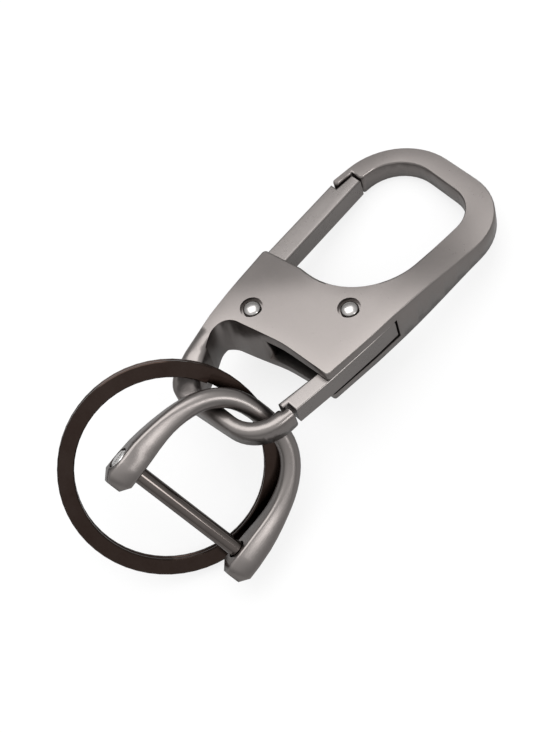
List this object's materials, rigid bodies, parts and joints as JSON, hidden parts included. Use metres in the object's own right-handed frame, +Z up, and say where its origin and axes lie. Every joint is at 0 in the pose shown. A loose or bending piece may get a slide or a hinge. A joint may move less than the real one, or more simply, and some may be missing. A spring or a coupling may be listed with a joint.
{
  "type": "detachable valet keychain",
  "caption": "Gunmetal double-ended clip whose spring gates hold a split ring and a D-shaped screw shackle, so one set of keys comes off.",
  "frame": {"origin": "on the table, under the middle of the whole keychain's bounding box", "axes": "+Z up from the table, +Y along the clip towards its hook, +X towards the clip's spine"},
  "size_m": [0.0424, 0.0972, 0.0269],
  "materials": {
    "gunmetal": "satin gunmetal plating",
    "rivet_chrome": "polished",
    "black_nickel": "glossy black nickel",
    "bar_nickel": "polished black nickel",
    "spring_steel": "drawn wire"
  },
  "bodies": {
    "root": {"hook_frame": "gunmetal", "upper_gate_rivet": "rivet_chrome", "lower_gate_rivet": "rivet_chrome", "upper_gate_spring": "spring_steel", "lower_gate_spring": "spring_steel"},
    "upper_gate": {"upper_gate": "gunmetal"},
    "lower_gate": {"lower_gate": "gunmetal"},
    "split_ring": {"split_ring": "black_nickel"},
    "shackle": {"shackle_bow": "gunmetal"},
    "screw_bar": {"shackle_screw_bar": "bar_nickel"}
  },
  "joints": [
    {"name": "upper_gate_hinge", "type": "hinge", "parent": "root", "child": "upper_gate", "pos_m": [-0.0103, 0.00137, 0.01148], "axis": [0.1902, -0.1851, -0.9641], "range_deg": [0, 26], "stiffness_Nm_per_rad": 0.02, "springref_deg": -17.19, "deforming": ["upper_gate_spring"]},
    {"name": "lower_gate_hinge", "type": "hinge", "parent": "root", "child": "lower_gate", "pos_m": [0.00344, 0.01297, 0.01197], "axis": [0.1902, -0.1851, -0.9641], "range_deg": [0, 17], "stiffness_Nm_per_rad": 0.02, "springref_deg": -17.19, "deforming": ["lower_gate_spring"]},
    {"name": "split_ring_swing", "type": "hinge", "parent": "root", "child": "split_ring", "pos_m": [-0.0039, -0.01635, 0.01609], "axis": [-0.377, 0.6173, -0.6905], "range_deg": [0, 25]},
    {"name": "shackle_swing", "type": "hinge", "parent": "root", "child": "shackle", "pos_m": [0.00217, -0.01575, 0.01723], "axis": [-0.6968, -0.0387, -0.7162], "range_deg": [0, 25]},
    {"name": "screw_bar_slide", "type": "slide", "parent": "shackle", "child": "screw_bar", "axis": [-0.774, -0.0842, 0.6275], "range_m": [0, 0.026]}
  ]
}
